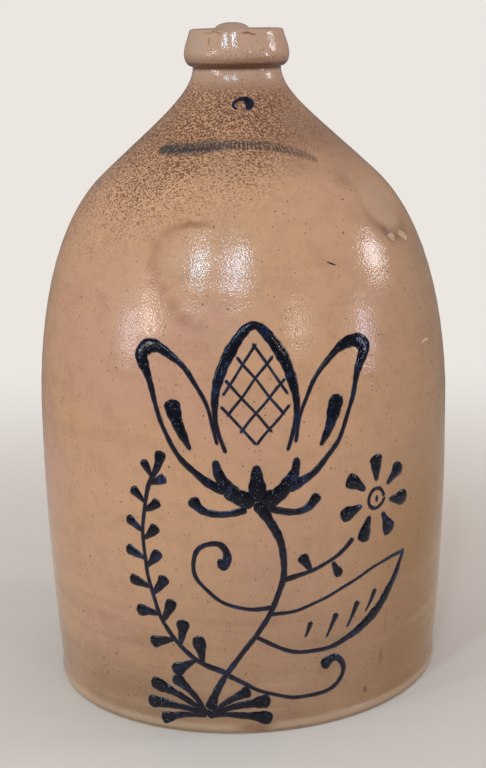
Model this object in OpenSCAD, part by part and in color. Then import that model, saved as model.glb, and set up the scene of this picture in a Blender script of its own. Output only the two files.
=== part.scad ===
// Two-gallon stoneware jug, thrown on the wheel and salt glazed: a tall rounded crock
// with a drawn-in shoulder, a narrow collared mouth for a cork, one pulled strap handle
// behind the neck and a dark slip lining.
// Millimetres, +Z up. The origin is the centre of the foot on the table, and the handle
// is at +Y. Outlines are half sections in [radius, height], turned about Z.

/* [Foot and belly] */
// Diameter of the wall where it meets the foot
foot_d = 206; // [196:1:214]
// Height of the rolled bead round the foot
foot_bead_h = 6; // [3:0.5:12]
// How far the foot bead stands out from the wall
foot_bead_out = 1; // [0.4:0.1:2.5]
// Diameter at the belly, the widest place
belly_d = 219; // [205:1:235]
// Height of the belly above the table
belly_h = 146; // [110:1:180]
// Length over which the belly keeps its fullness as it turns towards the shoulder
belly_pull = 58; // [30:1:75]

/* [Shoulder and neck] */
// Diameter where the shoulder changes from full to hollow
shoulder_d = 144; // [110:1:165]
// Height of that place above the belly
shoulder_rise = 125; // [105:1:150]
// Lean of the shoulder there, away from upright
shoulder_lean = 47; // [40:1:54]
// Fullness of the shoulder below that place
shoulder_full = 32; // [18:1:44]
// Hollowness of the shoulder above that place
shoulder_hollow = 56; // [30:1:62]
// Height of the neck's narrowest place above the shoulder
neck_rise = 54; // [48:1:70]
// Diameter of the neck at its narrowest place
neck_d = 45.2; // [40:0.2:52]
// Length over which the neck runs down into the shoulder
neck_pull = 13.5; // [6:0.5:20]

/* [Collar and mouth] */
// Height of the collar from the neck to the rim
collar_h = 20; // [14:0.5:30]
// Diameter of the collar at its widest place
collar_d = 53.4; // [50:0.2:64]
// Height of that place above the underside of the collar
collar_swell_h = 6.7; // [4:0.1:9]
// Diameter of the collar at the rim
rim_d = 47.8; // [43:0.2:50]
// Rounding of the rim's outer edge
rim_round = 2; // [1:0.1:3]
// Diameter of the mouth that the cork is pressed into
mouth_d = 27; // [20:0.5:32]
// Rounding of the mouth's edge
mouth_round = 1.6; // [0.6:0.1:2.4]

/* [Wall and lining] */
// Thickness of the thrown wall
wall = 8.5; // [6:0.5:11]
// Thickness of the floor
floor_t = 11; // [7:0.5:16]
// Rounding inside where the wall meets the floor
floor_round = 14; // [6:1:24]
// Thickness of the slip that lines the inside
coat_t = 0.5; // [0.3:0.1:1]

/* [Handle] */
// Width of the strap at its crest
strap_w = 20; // [16:0.5:26]
// Thickness of the strap at its crest
strap_t = 12; // [9:0.5:14]
// How far the crest stands above the rim
crest_rise = 2.6; // [0:0.2:8]
// Distance of the crest from the jug's axis
crest_reach = 46; // [42:0.5:54]
// How far the strap's outermost part stands out beyond the top of the full shoulder
bow_out = 15; // [9:0.5:24]
// Drop from the rim to the outermost part of the strap
bow_drop = 38; // [32:1:46]
// Where the strap lands, as a share of the curve from the belly to the shoulder
landing_share = 0.94; // [0.86:0.01:0.99]
// Turn of the handle off the back, seen from above
strap_turn = 3.5; // [-10:0.5:10]
// How far the strap's ends run into the wall before they are trimmed to it
root_sink = 7; // [6:0.5:8]

/* [Hidden] */
$fn = 128;

belly_r = belly_d / 2;
foot_r = foot_d / 2;
neck_r = neck_d / 2;
collar_r = collar_d / 2;
rim_r = rim_d / 2;
mouth_r = mouth_d / 2;
shoulder_z = belly_h + shoulder_rise;
neck_z = shoulder_z + neck_rise;
swell_z = neck_z + collar_swell_h;
rim_z = neck_z + collar_h;

// One overrun serves all cuts
overrun = 1;
// Points on each curved stretch of an outline
bead_steps = 8;
wall_steps = 10;
shoulder_steps = 14;
neck_steps = 14;
collar_steps = 7;
edge_steps = 5;
// How full the collar's rolled underside and its side are
collar_roll_share = 0.4;
collar_side_share = 0.35;

// Stations along the strap: place along it, width and thickness as shares of the crest's.
// It spreads where it is pressed on to the collar and the shoulder.
strap_shares = [
    [0.00, 1.34, 1.26],
    [0.12, 1.14, 1.10],
    [0.33, 1.00, 1.00],
    [0.60, 1.04, 0.94],
    [0.80, 1.12, 0.88],
    [0.90, 1.26, 0.90],
    [1.00, 1.56, 1.06]
];
// The middle line has three curves, and the bow is where the second ends
bow_share = 2 / 3;
// How square the strap's section is; 2 is an ellipse
strap_power = 2.4;
strap_sides = 20;
strap_steps = 9;
// Pulls of the strap's middle line, as shares of the way it covers
root_pull_share = 0.45;
crest_pull_share = 0.5;
bow_pull_share = 0.5;
landing_pull_share = 0.5;
// How far the strap slants down the shoulder as it lands; 0 is square on to it
landing_slant_share = 0.6;

// Point and direction of a cubic curve at share t of its length
function curve_at(p, t) =
    pow(1 - t, 3) * p[0] + 3 * pow(1 - t, 2) * t * p[1] + 3 * (1 - t) * t * t * p[2] + pow(t, 3) * p[3];
function heading_at(p, t) =
    pow(1 - t, 2) * (p[1] - p[0]) + 2 * (1 - t) * t * (p[2] - p[1]) + t * t * (p[3] - p[2]);
function unit(v) = v / norm(v);
// The side of a rising outline that faces the jug's axis
function inward(v) = [-unit(v)[1], unit(v)[0]];
function curve_points(p, steps) = [for (i = [1 : steps]) curve_at(p, i / steps)];
// Value at share s in a table of [share, value, value ...] rows, in column k
function table_at(table, s, k) = lookup(s, [for (row = table) [row[0], row[k]]]);

// Lower wall: a shallow curve that is upright at the belly
function wall_point(z) = [belly_r - (belly_r - foot_r) * pow((belly_h - z) / belly_h, 2), z];
function wall_heading(z) = [2 * (belly_r - foot_r) * (belly_h - z) / pow(belly_h, 2), 1];

// Shoulder: full up to the place where the lean is greatest, hollow from there to the neck
shoulder_dir = [-sin(shoulder_lean), cos(shoulder_lean)];
shoulder_point = [shoulder_d / 2, shoulder_z];
full_curve = [
    [belly_r, belly_h],
    [belly_r, belly_h + belly_pull],
    shoulder_point - shoulder_full * shoulder_dir,
    shoulder_point
];
hollow_curve = [
    shoulder_point,
    shoulder_point + shoulder_hollow * shoulder_dir,
    [neck_r, neck_z - neck_pull],
    [neck_r, neck_z]
];

// Collar: rolled underside, leaning side, rounded rim
collar_under = [
    [neck_r, neck_z],
    [neck_r + collar_roll_share * (collar_r - neck_r), neck_z],
    [collar_r, swell_z - collar_roll_share * collar_swell_h],
    [collar_r, swell_z]
];
side_top_z = rim_z - rim_round;
collar_side = [
    [collar_r, swell_z],
    [collar_r, swell_z + collar_side_share * (side_top_z - swell_z)],
    [rim_r + collar_side_share * (collar_r - rim_r), side_top_z - collar_side_share * (side_top_z - swell_z)],
    [rim_r, side_top_z]
];

foot_bead = [
    for (i = [0 : bead_steps])
        let (z = foot_bead_h * i / bead_steps)
        wall_point(z) + [foot_bead_out * sin(180 * (i + 1) / (bead_steps + 1)), 0]
];
lower_wall = [
    for (i = [1 : wall_steps]) wall_point(foot_bead_h + (belly_h - foot_bead_h) * i / wall_steps)
];
rim_edge = [
    for (i = [1 : edge_steps])
        let (a = 90 * i / edge_steps)
        [rim_r - rim_round * (1 - cos(a)), side_top_z + rim_round * sin(a)]
];
outer_outline = concat(
    [[0, 0]],
    foot_bead,
    lower_wall,
    curve_points(full_curve, shoulder_steps),
    curve_points(hollow_curve, neck_steps),
    curve_points(collar_under, collar_steps),
    curve_points(collar_side, collar_steps),
    rim_edge,
    [[0, rim_z]]
);

// The cavity runs parallel to the outside. Over the hollow of the shoulder the wall goes
// over to the thickness that the neck has round the mouth. inset draws it in by that much.
neck_wall = neck_r - mouth_r;
cavity_floor_z = floor_t + floor_round;
function hollow_wall(t) = wall + (neck_wall - wall) * t * t * (3 - 2 * t);
function inset_at(t, inset) = inset * (1 - pow(t, 4));
function cavity_wall_point(z, inset) = wall_point(z) + (wall + inset) * inward(wall_heading(z));
function cavity_outline(inset) =
    let (
        start = cavity_wall_point(cavity_floor_z, inset),
        corner = floor_round - inset
    )
    concat(
        [[0, floor_t + inset]],
        [
            for (i = [0 : edge_steps])
                let (a = 90 * i / edge_steps)
                [start[0] - corner * (1 - sin(a)), floor_t + inset + corner * (1 - cos(a))]
        ],
        [
            for (i = [1 : wall_steps])
                cavity_wall_point(cavity_floor_z + (belly_h - cavity_floor_z) * i / wall_steps, inset)
        ],
        [
            for (i = [1 : shoulder_steps])
                let (t = i / shoulder_steps)
                curve_at(full_curve, t) + (wall + inset) * inward(heading_at(full_curve, t))
        ],
        [
            for (i = [1 : neck_steps])
                let (t = i / neck_steps)
                curve_at(hollow_curve, t)
                    + (hollow_wall(t) + inset_at(t, inset)) * inward(heading_at(hollow_curve, t))
        ],
        [[0, neck_z]]
    );

// The mouth's edge, a ring that rounds the corner between the bore and the rim
mouth_edge = concat(
    [
        for (i = [0 : edge_steps])
            let (a = 90 * i / edge_steps)
            [mouth_r + mouth_round * (1 - cos(a)), rim_z - mouth_round * (1 - sin(a))]
    ],
    [
        [mouth_r + mouth_round, rim_z + overrun],
        [0, rim_z + overrun],
        [0, rim_z - mouth_round]
    ]
);

// Middle line of the strap in [reach, height]: out of the collar, over the crest, round
// the bow and down on to the shoulder
crest = [crest_reach, rim_z + crest_rise - strap_t / 2];
bow = [shoulder_d / 2 + bow_out - table_at(strap_shares, bow_share, 2) * strap_t / 2, rim_z - bow_drop];
collar_root = [collar_r - root_sink, swell_z];
landing_rise = unit(heading_at(full_curve, landing_share));
landing_in = inward(landing_rise);
landing_dir = unit(landing_in - landing_slant_share * landing_rise);
landing = curve_at(full_curve, landing_share) + root_sink * landing_in;
crest_way = crest[0] - collar_root[0];
bow_way = [bow[0] - crest[0], crest[1] - bow[1]];
landing_way = norm(bow - landing);
strap_curves = [
    [
        collar_root,
        collar_root + [root_pull_share * crest_way, 0],
        crest - [root_pull_share * crest_way, 0],
        crest
    ],
    [
        crest,
        crest + [crest_pull_share * bow_way[0], 0],
        bow + [0, bow_pull_share * bow_way[1]],
        bow
    ],
    [
        bow,
        bow - [0, bow_pull_share * landing_way],
        landing - landing_pull_share * landing_way * landing_dir,
        landing
    ]
];
strap_rings = len(strap_curves) * strap_steps;

// One ring of the strap's section: width along X, thickness square to the middle line
function strap_ring(i) =
    let (
        piece = min(floor(i / strap_steps), len(strap_curves) - 1),
        t = i / strap_steps - piece,
        place = curve_at(strap_curves[piece], t),
        up = -inward(heading_at(strap_curves[piece], t)),
        s = i / strap_rings,
        half_w = strap_w / 2 * table_at(strap_shares, s, 1),
        half_t = strap_t / 2 * table_at(strap_shares, s, 2)
    )
    [
        for (k = [0 : strap_sides - 1])
            let (
                a = 360 * k / strap_sides,
                across = half_w * sign(cos(a)) * pow(abs(cos(a)), 2 / strap_power),
                along = half_t * sign(sin(a)) * pow(abs(sin(a)), 2 / strap_power)
            )
            [across, place[0] + along * up[0], place[1] + along * up[1]]
    ];

module turned(outline) {
    rotate_extrude()
        polygon(outline);
}

module strap_blank() {
    rings = [for (i = [0 : strap_rings]) each strap_ring(i)];
    near_end = [for (k = [0 : strap_sides - 1]) k];
    far_end = [for (k = [strap_sides - 1 : -1 : 0]) strap_rings * strap_sides + k];
    sides = [
        for (i = [0 : strap_rings - 1], k = [0 : strap_sides - 1])
            let (
                a = i * strap_sides + k,
                b = i * strap_sides + (k + 1) % strap_sides
            )
            each [[a, a + strap_sides, b], [b, a + strap_sides, b + strap_sides]]
    ];
    polyhedron(rings, concat([near_end, far_end], sides));
}

// The thrown shell: foot, wall, shoulder, neck and collar in one piece of clay
module jug_body() {
    color("burlywood")
        difference() {
            turned(outer_outline);
            turned(cavity_outline(0));
            translate([0, 0, shoulder_z])
                cylinder(h = rim_z - shoulder_z + overrun, r = mouth_r);
            turned(mouth_edge);
        }
}

// The pulled strap, trimmed to the collar and the shoulder that it is pressed on to
module strap_handle() {
    color("tan")
        difference() {
            rotate([0, 0, strap_turn])
                strap_blank();
            turned(outer_outline);
        }
}

// Dark slip poured round the inside, feathered out where the mouth begins
module interior_slip_coat() {
    color("saddlebrown")
        difference() {
            turned(cavity_outline(0));
            turned(cavity_outline(coat_t));
        }
}

jug_body();
strap_handle();
interior_slip_coat();
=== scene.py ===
from functools import partial, reduce
import bpy
import numpy as np
from mathutils import Matrix, Vector


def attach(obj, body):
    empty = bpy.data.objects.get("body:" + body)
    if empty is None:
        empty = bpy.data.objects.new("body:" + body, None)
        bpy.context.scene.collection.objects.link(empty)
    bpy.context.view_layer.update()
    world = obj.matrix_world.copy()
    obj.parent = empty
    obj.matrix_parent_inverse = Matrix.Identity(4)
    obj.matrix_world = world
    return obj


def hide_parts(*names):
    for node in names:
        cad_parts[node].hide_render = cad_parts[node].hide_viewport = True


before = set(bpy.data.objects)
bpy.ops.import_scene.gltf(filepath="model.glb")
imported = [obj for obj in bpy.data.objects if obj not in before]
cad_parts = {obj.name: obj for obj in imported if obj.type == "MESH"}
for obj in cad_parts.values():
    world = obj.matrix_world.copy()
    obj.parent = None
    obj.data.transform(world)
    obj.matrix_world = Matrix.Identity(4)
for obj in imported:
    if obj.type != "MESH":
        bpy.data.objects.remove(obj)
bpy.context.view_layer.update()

print("frame loaded:", sorted(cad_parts))

# Dictionaries hold millimetres and degrees; meshes are made in metres.
mm = 0.001

jug = {
    "foot": 103, "beadHeight": 6, "beadOut": 1, "footEdge": 1.4,
    "belly": 109.5, "bellyHeight": 146, "bellyPull": 58,
    "shoulder": 72, "shoulderHeight": 271, "shoulderLean": 47, "fullPull": 32, "hollowPull": 42,
    "neck": 22.9, "neckHeight": 326, "neckPull": 13.6,
    "collar": 27.3, "swellHeight": 332.3, "rim": 24.6, "rimHeight": 345, "rimRound": 2,
    "mouth": 13.5, "mouthRound": 1.6,
    "wall": 8.5, "floor": 11, "floorRound": 14,
    # The cavity follows the turned form, whose neck is a little lower and slimmer
    "turned": {"hollowPull": 56, "neck": 22.6, "neckHeight": 325, "neckPull": 13.5},
    # Columns round it, rows of the foot, the wall and the neck with the collar, and where those begin
    "columns": 400, "rows": (15, 118, 40), "footEnd": 9, "neckFrom": 6,
    # Rings of the underside and of the inner floor, and rows of the cavity
    "underRings": (8, 45, 80, 97), "floorRings": (60, 30, 6), "cavityRows": 44,
}


# A cubic curve: it leaves the first point towards the second and reaches the fourth from the third.
def cubicCurve(ends, share):
    a, b, c, d = np.asarray(ends, float)
    t = np.asarray(share, float)[:, None]
    return (1 - t)**3 * a + 3 * (1 - t)**2 * t * b + 3 * (1 - t) * t**2 * c + t**3 * d


# Goes from 0 to 1 between low and high, level at both ends: x squared times three less two x.
def smoothStep(value, low, high):
    x = np.clip((value - low) / (high - low), 0, 1)
    return x * x * (3 - 2 * x)


# Quarter of a circle round centre, from angle first to angle last.
def arcPoints(centre, radius, first, last, count):
    a = np.radians(np.linspace(first, last, count))
    return np.column_stack([centre[0] + radius * np.cos(a), centre[1] + radius * np.sin(a)])


# How far along a line each of its points is.
def runs(points):
    return np.r_[0, np.cumsum(np.linalg.norm(np.diff(points, axis=0), axis=1))]


# Spreads points evenly along a line by its first two columns, and says how far along they are.
def evenPoints(points, count):
    along = runs(points[:, :2])
    where = np.linspace(0, along[-1], count)
    return np.column_stack([np.interp(where, along, column) for column in points.T]), where


# Vectors brought to the length 1.
def unit(vectors):
    return vectors / (np.linalg.norm(vectors, axis=-1, keepdims=True) + 1e-9)


# Angles once round, in radians.
def fullTurn(count):
    return np.linspace(0, 2 * np.pi, count, endpoint=False)


# Points round Z in metres, at an angle from the front: [radius sin, -radius cos, height].
def around(radius, angle, height):
    radius, height, a = np.broadcast_arrays(radius, height, np.radians(angle))
    return np.stack([radius * np.sin(a), -radius * np.cos(a), height], -1) * mm


# Where the shoulder's full curve turns hollow, and the way the wall runs there.
def shoulderTurn(p):
    lean = np.radians(p["shoulderLean"])
    return np.array([p["shoulder"], p["shoulderHeight"]]), np.array([-np.sin(lean), np.cos(lean)])


# The full curve of the shoulder: a cubic from the belly to the turn.
def fullShoulder(p, share):
    turn, rise = shoulderTurn(p)
    return cubicCurve([[p["belly"], p["bellyHeight"]], [p["belly"], p["bellyHeight"] + p["bellyPull"]],
                       turn - p["fullPull"] * rise, turn], share)


# Half section of the outside, [radius, height] from the foot to the rim: a parabola up to the
# belly with a half sine wave for the foot bead, one full and one hollow cubic for the shoulder,
# and two cubics and a quarter circle for the collar.
def outsideOutline(p):
    turn, rise = shoulderTurn(p)
    z = np.linspace(p["footEdge"], p["bellyHeight"], 160)
    lower = p["belly"] - (p["belly"] - p["foot"]) * ((p["bellyHeight"] - z) / p["bellyHeight"])**2
    lower += p["beadOut"] * np.sin(np.pi * np.clip(z / p["beadHeight"], 0, 1))
    edge = arcPoints([lower[0] - p["footEdge"], p["footEdge"]], p["footEdge"], -90, 0, 7)
    t = np.linspace(0, 1, 120)[1:]
    full = fullShoulder(p, t)
    pinch, widest = [p["neck"], p["neckHeight"]], [p["collar"], p["swellHeight"]]
    hollow = cubicCurve([turn, turn + p["hollowPull"] * rise,
                         [p["neck"], p["neckHeight"] - p["neckPull"]], pinch], t)
    roll, swell = p["collar"] - p["neck"], p["swellHeight"] - p["neckHeight"]
    under = cubicCurve([pinch, [p["neck"] + 0.6 * roll, p["neckHeight"]],
                        [p["collar"], p["swellHeight"] - 0.55 * swell], widest], t[::3])
    top = p["rimHeight"] - p["rimRound"]
    side, lap = top - p["swellHeight"], p["collar"] - p["rim"]
    sides = cubicCurve([widest, [p["collar"], p["swellHeight"] + 0.35 * side],
                        [p["rim"] + 0.35 * lap, top - 0.35 * side], [p["rim"], top]], t[::3])
    rim = arcPoints([p["rim"] - p["rimRound"], top], p["rimRound"], 0, 90, 10)[1:]
    return np.vstack([edge[:-1], np.column_stack([lower, z]), full, hollow, under, sides, rim])


outline = outsideOutline(jug)
outlineLength = runs(outline)


# Length up the outline at which the outside has this height, and its radius there.
def lengthAt(height):
    return np.interp(height, outline[:, 1], outlineLength)


def radiusAt(height):
    return np.interp(height, outline[:, 1], outline[:, 0])


# How far the real, hand-thrown wall lies off the turned outline, in mm, by angle from the front
# (degrees, growing to the right) and height. It never goes outward past the belly.
dents = [
    # angle, height, half width, half height, depth, sharpness of its edge
    {"angle": -12, "height": 232, "wide": 27, "high": 24, "deep": 0.8, "edge": 0.5},
    {"angle": 63, "height": 258, "wide": 20, "high": 17, "deep": 3, "edge": 0.3},
]
hand = {"footOut": 0.5, "footRight": 1.3, "footFront": 0.8, "footOval": 3.6, "collarLeft": 0.4,
        "frontFlat": 0.9, "wobble": 0.28, "ridges": 0.05, "ridgePitch": 10.5, "dents": dents,
        # Heights at which they fade in or out
        "footUp": (22, 107), "bodyUp": (330, 250), "collarUp": (290, 318), "frontUp": (40, 110)}


# That distance: sine waves of the angle and the height, less the depth of each soft-edged dent.
def wallOffset(angle, height):
    a = np.radians(angle)
    radius = radiusAt(height)
    low = 1 - smoothStep(height, *hand["footUp"])
    body = smoothStep(height, *hand["bodyUp"])
    off = low * (hand["footOut"] + hand["footRight"] * np.sin(a) - hand["footFront"] * np.cos(a)
                 - hand["footOval"] * np.sin(2 * a))
    off -= hand["collarLeft"] * np.sin(a) * smoothStep(height, *hand["collarUp"])
    off -= hand["frontFlat"] * np.cos(a)**2 * smoothStep(height, *hand["frontUp"]) * body
    off += hand["wobble"] * body * (np.sin(3 * a + height / 47) + np.sin(2 * a - height / 31 + 1.3))
    ridge = 2 * np.pi * height / hand["ridgePitch"] + a + 1.7 * np.sin(height / 38)
    off += hand["ridges"] * body * np.sin(ridge)
    for d in hand["dents"]:
        turn = (angle - d["angle"] + 180) % 360 - 180
        across, up = np.radians(turn) * radius / d["wide"], (height - d["height"]) / d["high"]
        roundDent = np.arctan2(up, across)
        far = np.hypot(across, up) * (1 + 0.07 * np.sin(3 * roundDent + 1) + 0.05 * np.sin(2 * roundDent))
        off -= d["deep"] * (1 - smoothStep(far, 1 - d["edge"], 1 + d["edge"]))
    return np.minimum(off, jug["belly"] - 0.1 - radius)


# Point of the outside at an angle from the front and a length up the outline, raised by lift.
def wallPoint(angle, length, lift=0):
    def section(at):
        return np.array([np.interp(at, outlineLength, outline[:, k]) for k in (0, 1)])

    r, z = section(length)
    dr, dz = section(length + 1) - section(length - 1)
    size = np.hypot(dr, dz) + 1e-9
    return around(r + wallOffset(angle, z) + lift * dz / size, angle, z - lift * dr / size)


# Turns a grid of points into a closed mesh: the columns wrap round, and the first and last rows
# are closed by fans on their means. The faces are turned over if the volume comes out negative.
def closedGrid(points):
    rows, columns = points.shape[:2]
    i, j = np.meshgrid(np.arange(rows - 1), np.arange(columns), indexing="ij")
    k = (j + 1) % columns
    this, above = i * columns, (i + 1) * columns
    quads = np.stack([this + j, this + k, above + k, above + j], -1).reshape(-1, 4)
    ring = np.arange(columns)
    last = (rows - 1) * columns + ring
    first = np.stack([np.roll(ring, -1), ring, np.full(columns, rows * columns)], -1)
    final = np.stack([last, np.roll(last, -1), np.full(columns, rows * columns + 1)], -1)
    co = np.vstack([points.reshape(-1, 3), points[0].mean(0), points[-1].mean(0)])
    tri = np.vstack([quads[:, [0, 1, 2]], quads[:, [0, 2, 3]], first, final])
    a, b, c = (co[tri[:, n]] - co.mean(0) for n in range(3))
    faces = [quads, np.vstack([first, final])]
    if np.einsum("ij,ij->", a, np.cross(b, c)) < 0:
        faces = [f[:, ::-1] for f in faces]
    return co, faces


def newObject(name, data):
    thing = bpy.data.objects.new(name, data)
    bpy.context.scene.collection.objects.link(thing)
    return thing


# Makes a mesh of one or more closed grids, with values kept on its points.
def newMesh(name, parts, material, values=None, smooth=True):
    count, totals, loops = 0, [], []
    for co, faces in parts:
        for f in faces:
            loops.append((f + count).ravel())
            totals.append(np.full(len(f), f.shape[1]))
        count += len(co)
    loops, totals = np.concatenate(loops), np.concatenate(totals)
    starts = np.r_[0, np.cumsum(totals)[:-1]]
    mesh = bpy.data.meshes.new(name)
    mesh.vertices.add(count)
    mesh.loops.add(len(loops))
    mesh.polygons.add(len(totals))
    mesh.vertices.foreach_set("co", np.vstack([co for co, faces in parts]).astype(np.float32).ravel())
    mesh.loops.foreach_set("vertex_index", loops.astype(np.int32))
    mesh.polygons.foreach_set("loop_start", starts.astype(np.int32))
    mesh.polygons.foreach_set("loop_total", totals.astype(np.int32))
    mesh.polygons.foreach_set("use_smooth", np.full(len(totals), smooth))
    for key, data in (values or {}).items():
        mesh.attributes.new(key, "FLOAT", "POINT").data.foreach_set("value", np.asarray(data, np.float32))
    mesh.update(calc_edges=True)
    mesh.validate()
    mesh.materials.append(material)
    return mesh


def makePiece(name, parts, material, values=None):
    piece = newObject(name, newMesh(name, parts, material, values))
    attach(piece, "root")
    print("piece made:", name, len(piece.data.polygons), "faces")
    return piece


# Half section of the inside, from the edge of the mouth down the bore and the cavity to the
# middle of the floor: the outside moved inward by the wall, which runs out into the neck's wall.
def insideOutline(p):
    bevel, bend = p["mouthRound"], p["floorRound"]
    edge = arcPoints([p["mouth"] + bevel, p["rimHeight"] - bevel], bevel, 90, 180, 8)
    bore = np.column_stack([np.full(7, p["mouth"]), np.linspace(edge[-1, 1], p["neckHeight"], 8)[1:]])
    p = {**p, **p["turned"]}
    wall = outsideOutline(p)
    wall = wall[(wall[:, 1] > p["floor"] + bend) & (wall[:, 1] < p["neckHeight"] - 0.01)]
    rise = unit(np.gradient(wall, axis=0))
    share = smoothStep(wall[:, 1], p["shoulderHeight"], p["neckHeight"])
    thick = p["wall"] + share * (p["neck"] - p["mouth"] - p["wall"])
    cavity = wall + thick[:, None] * np.column_stack([-rise[:, 1], rise[:, 0]])
    cavity = evenPoints(cavity[::-1], p["cavityRows"])[0]
    cavity = cavity[cavity[:, 1] < p["neckHeight"] - 1]
    corner = arcPoints([cavity[-1, 0] - bend, p["floor"] + bend], bend, 0, -90, 7)[1:]
    floor = [[radius, p["floor"]] for radius in p["floorRings"]]
    return np.vstack([edge, bore, cavity, corner, floor])


# The jug as one closed shell: the half sections carried round Z, with the hand-made
# unevenness added to the outside only.
def jugShell(p):
    angle = np.linspace(-180, 180, p["columns"], endpoint=False)
    low, high = lengthAt(p["footEnd"]), lengthAt(p["neckHeight"] - p["neckFrom"])
    foot, wall, neck = p["rows"]
    length = np.r_[np.linspace(0, low, foot), np.linspace(low, high, wall)[1:],
                   np.linspace(high, outlineLength[-1], neck)[1:]]
    under = around(np.array(p["underRings"])[:, None], angle, 0)
    inside = insideOutline(p)
    inner = around(inside[:, :1], angle, inside[:, 1:])
    return closedGrid(np.vstack([under, wallPoint(angle, length[:, None]), inner]))


strap = {
    "wide": 20, "thick": 12, "crestRise": 2.6, "crestReach": 46, "bowOut": 15, "bowDrop": 38,
    "landing": 0.94, "slant": 0.6, "turn": 3.5, "sink": 7, "squareness": 2.4,
    "stations": [[0, 1.34, 1.26], [0.12, 1.14, 1.10], [0.33, 1, 1], [0.6, 1.04, 0.94],
                 [0.8, 1.12, 0.88], [0.9, 1.26, 0.90], [1, 1.56, 1.06]],
    "groove": 0.9, "grooveWide": 0.34, "steps": 34, "sides": 48,
    "smears": [{"up": 334.5, "wide": 17, "high": 6.5, "lift": 2.6},
               {"up": 266, "wide": 25, "high": 17, "lift": 3.4}],
}


# Middle line of the strap, [reach, height]: three cubics from the collar over the crest and
# round the bow to the shoulder, with the heading along it.
def strapLine(p):
    table = np.array(p["stations"])
    t = np.linspace(0, 1, 400)[1:]
    full = fullShoulder(jug, p["landing"] + np.array([-0.001, 0, 0.001]))
    up = unit(full[2] - full[0])
    into = np.array([-up[1], up[0]])
    down = unit(into - p["slant"] * up)
    root = np.array([jug["collar"] - p["sink"], jug["swellHeight"]])
    crest = np.array([p["crestReach"], jug["rimHeight"] + p["crestRise"] - p["thick"] / 2])
    bowThick = np.interp(2 / 3, table[:, 0], table[:, 2]) * p["thick"] / 2
    bow = np.array([jug["shoulder"] + p["bowOut"] - bowThick, jug["rimHeight"] - p["bowDrop"]])
    land = full[1] + p["sink"] * into
    a, b, c = crest[0] - root[0], bow - crest, np.linalg.norm(bow - land)
    lines = [[root, root + [0.45 * a, 0], crest - [0.45 * a, 0], crest],
             [crest, crest + [0.5 * b[0], 0], bow - [0, 0.5 * b[1]], bow],
             [bow, bow - [0, 0.5 * c], land - 0.5 * c * down, land]]
    line = np.vstack([root] + [cubicCurve(ends, t) for ends in lines])
    return np.linspace(0, 1, len(line)), line, unit(np.gradient(line, axis=0))


# The strap: a rounded oblong section (cosine and sine to the power 2 / squareness) carried along
# the middle line, with a shallow groove pulled down its outer face.
def strapGrid(p):
    share, line, heading = strapLine(p)
    keep = np.linspace(0, len(share) - 1, 3 * p["steps"]).astype(int)
    s, line, heading = share[keep], line[keep], heading[keep]
    table = np.array(p["stations"])
    halfWide = p["wide"] / 2 * np.interp(s, table[:, 0], table[:, 1]) * (1 + 0.012 * np.sin(s * 41))
    halfThick = p["thick"] / 2 * np.interp(s, table[:, 0], table[:, 2]) * (1 + 0.014 * np.sin(s * 29 + 1))
    a = fullTurn(p["sides"])
    power = 2 / p["squareness"]
    across = np.sign(np.cos(a)) * abs(np.cos(a))**power
    along = np.sign(np.sin(a)) * abs(np.sin(a))**power
    x = halfWide[:, None] * across
    lift = halfThick[:, None] * along
    middle = smoothStep(s, 0.4, 0.6) * smoothStep(s, 1, 0.8)
    lift = lift - p["groove"] * middle[:, None] * np.exp(-(across / p["grooveWide"])**2) * (along > 0)
    out = np.column_stack([-heading[:, 1], heading[:, 0]])
    reach = line[:, :1] + lift * out[:, :1]
    height = line[:, 1:] + lift * out[:, 1:]
    c, s = np.cos(np.radians(p["turn"])), np.sin(np.radians(p["turn"]))
    return np.stack([x * c - reach * s, x * s + reach * c, height], -1) * mm


# A smear of clay round the end of the strap: a low mound on the wall, as high as the square of
# one less the distance from its middle squared, that dips under the wall at its border.
def smearGrid(up, wide, high, lift):
    ring = np.r_[np.linspace(0.03, 1, 16), 1.06][:, None]
    a = fullTurn(64)
    radius = radiusAt(up)
    edge = 1 + 0.07 * np.sin(3 * a + 1) + 0.05 * np.sin(5 * a)
    angle = 180 + strap["turn"] + np.degrees(ring * edge * wide * np.cos(a) / radius)
    length = lengthAt(up) + ring * edge * high * np.sin(a)
    mound = lift * np.clip(1 - ring**2, 0, 1)**1.6 - 0.25 * (ring > 0.97) - 0.9 * (ring > 1.01)
    return wallPoint(angle, length, mound + 0 * a)


# A smooth line through control points: on each stretch the cubic whose slopes at the two points
# are half of the way between their neighbours.
def throughPoints(points, spacing):
    p = np.asarray(points, float)
    p = np.vstack([2 * p[0] - p[1], p, 2 * p[-1] - p[-2]])
    t = np.linspace(0, len(p) - 3, 40 * (len(p) - 3) + 1)
    i = np.minimum(t.astype(int), len(p) - 4)
    f = (t - i)[:, None]
    a, b, c, d = p[i], p[i + 1], p[i + 2], p[i + 3]
    q = 0.5 * (2 * b + (c - a) * f + (2 * a - 5 * b + 4 * c - d) * f**2 + (3 * b - a - 3 * c + d) * f**3)
    return evenPoints(q, max(8, int(runs(q[:, :2])[-1] / spacing)))


# Steps go across half of a trail from its border to its middle, in skirts and in half widths.
# Sways are [column, size, pitch] of the line's wander and swells [share, pitch] of its width, in mm.
slip = {"skirt": 0.7, "high": 0.7, "spacing": 0.85, "bed": -0.5, "soften": 5, "thickFrom": 3,
        "skirtSteps": [1, 0.5], "skirtRise": [-0.06, 0.035], "domeSteps": [1, 0.93, 0.76, 0.5, 0.2],
        "domeRise": 0.05, "domeSlope": 0.34, "ink": [0, 0.34, 0.85, 1, 1, 1, 1],
        "sways": [(0, 0.16, 23), (1, 0.16, 19)], "swells": [(0.06, 13), (0.05, 5.5)]}


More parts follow.
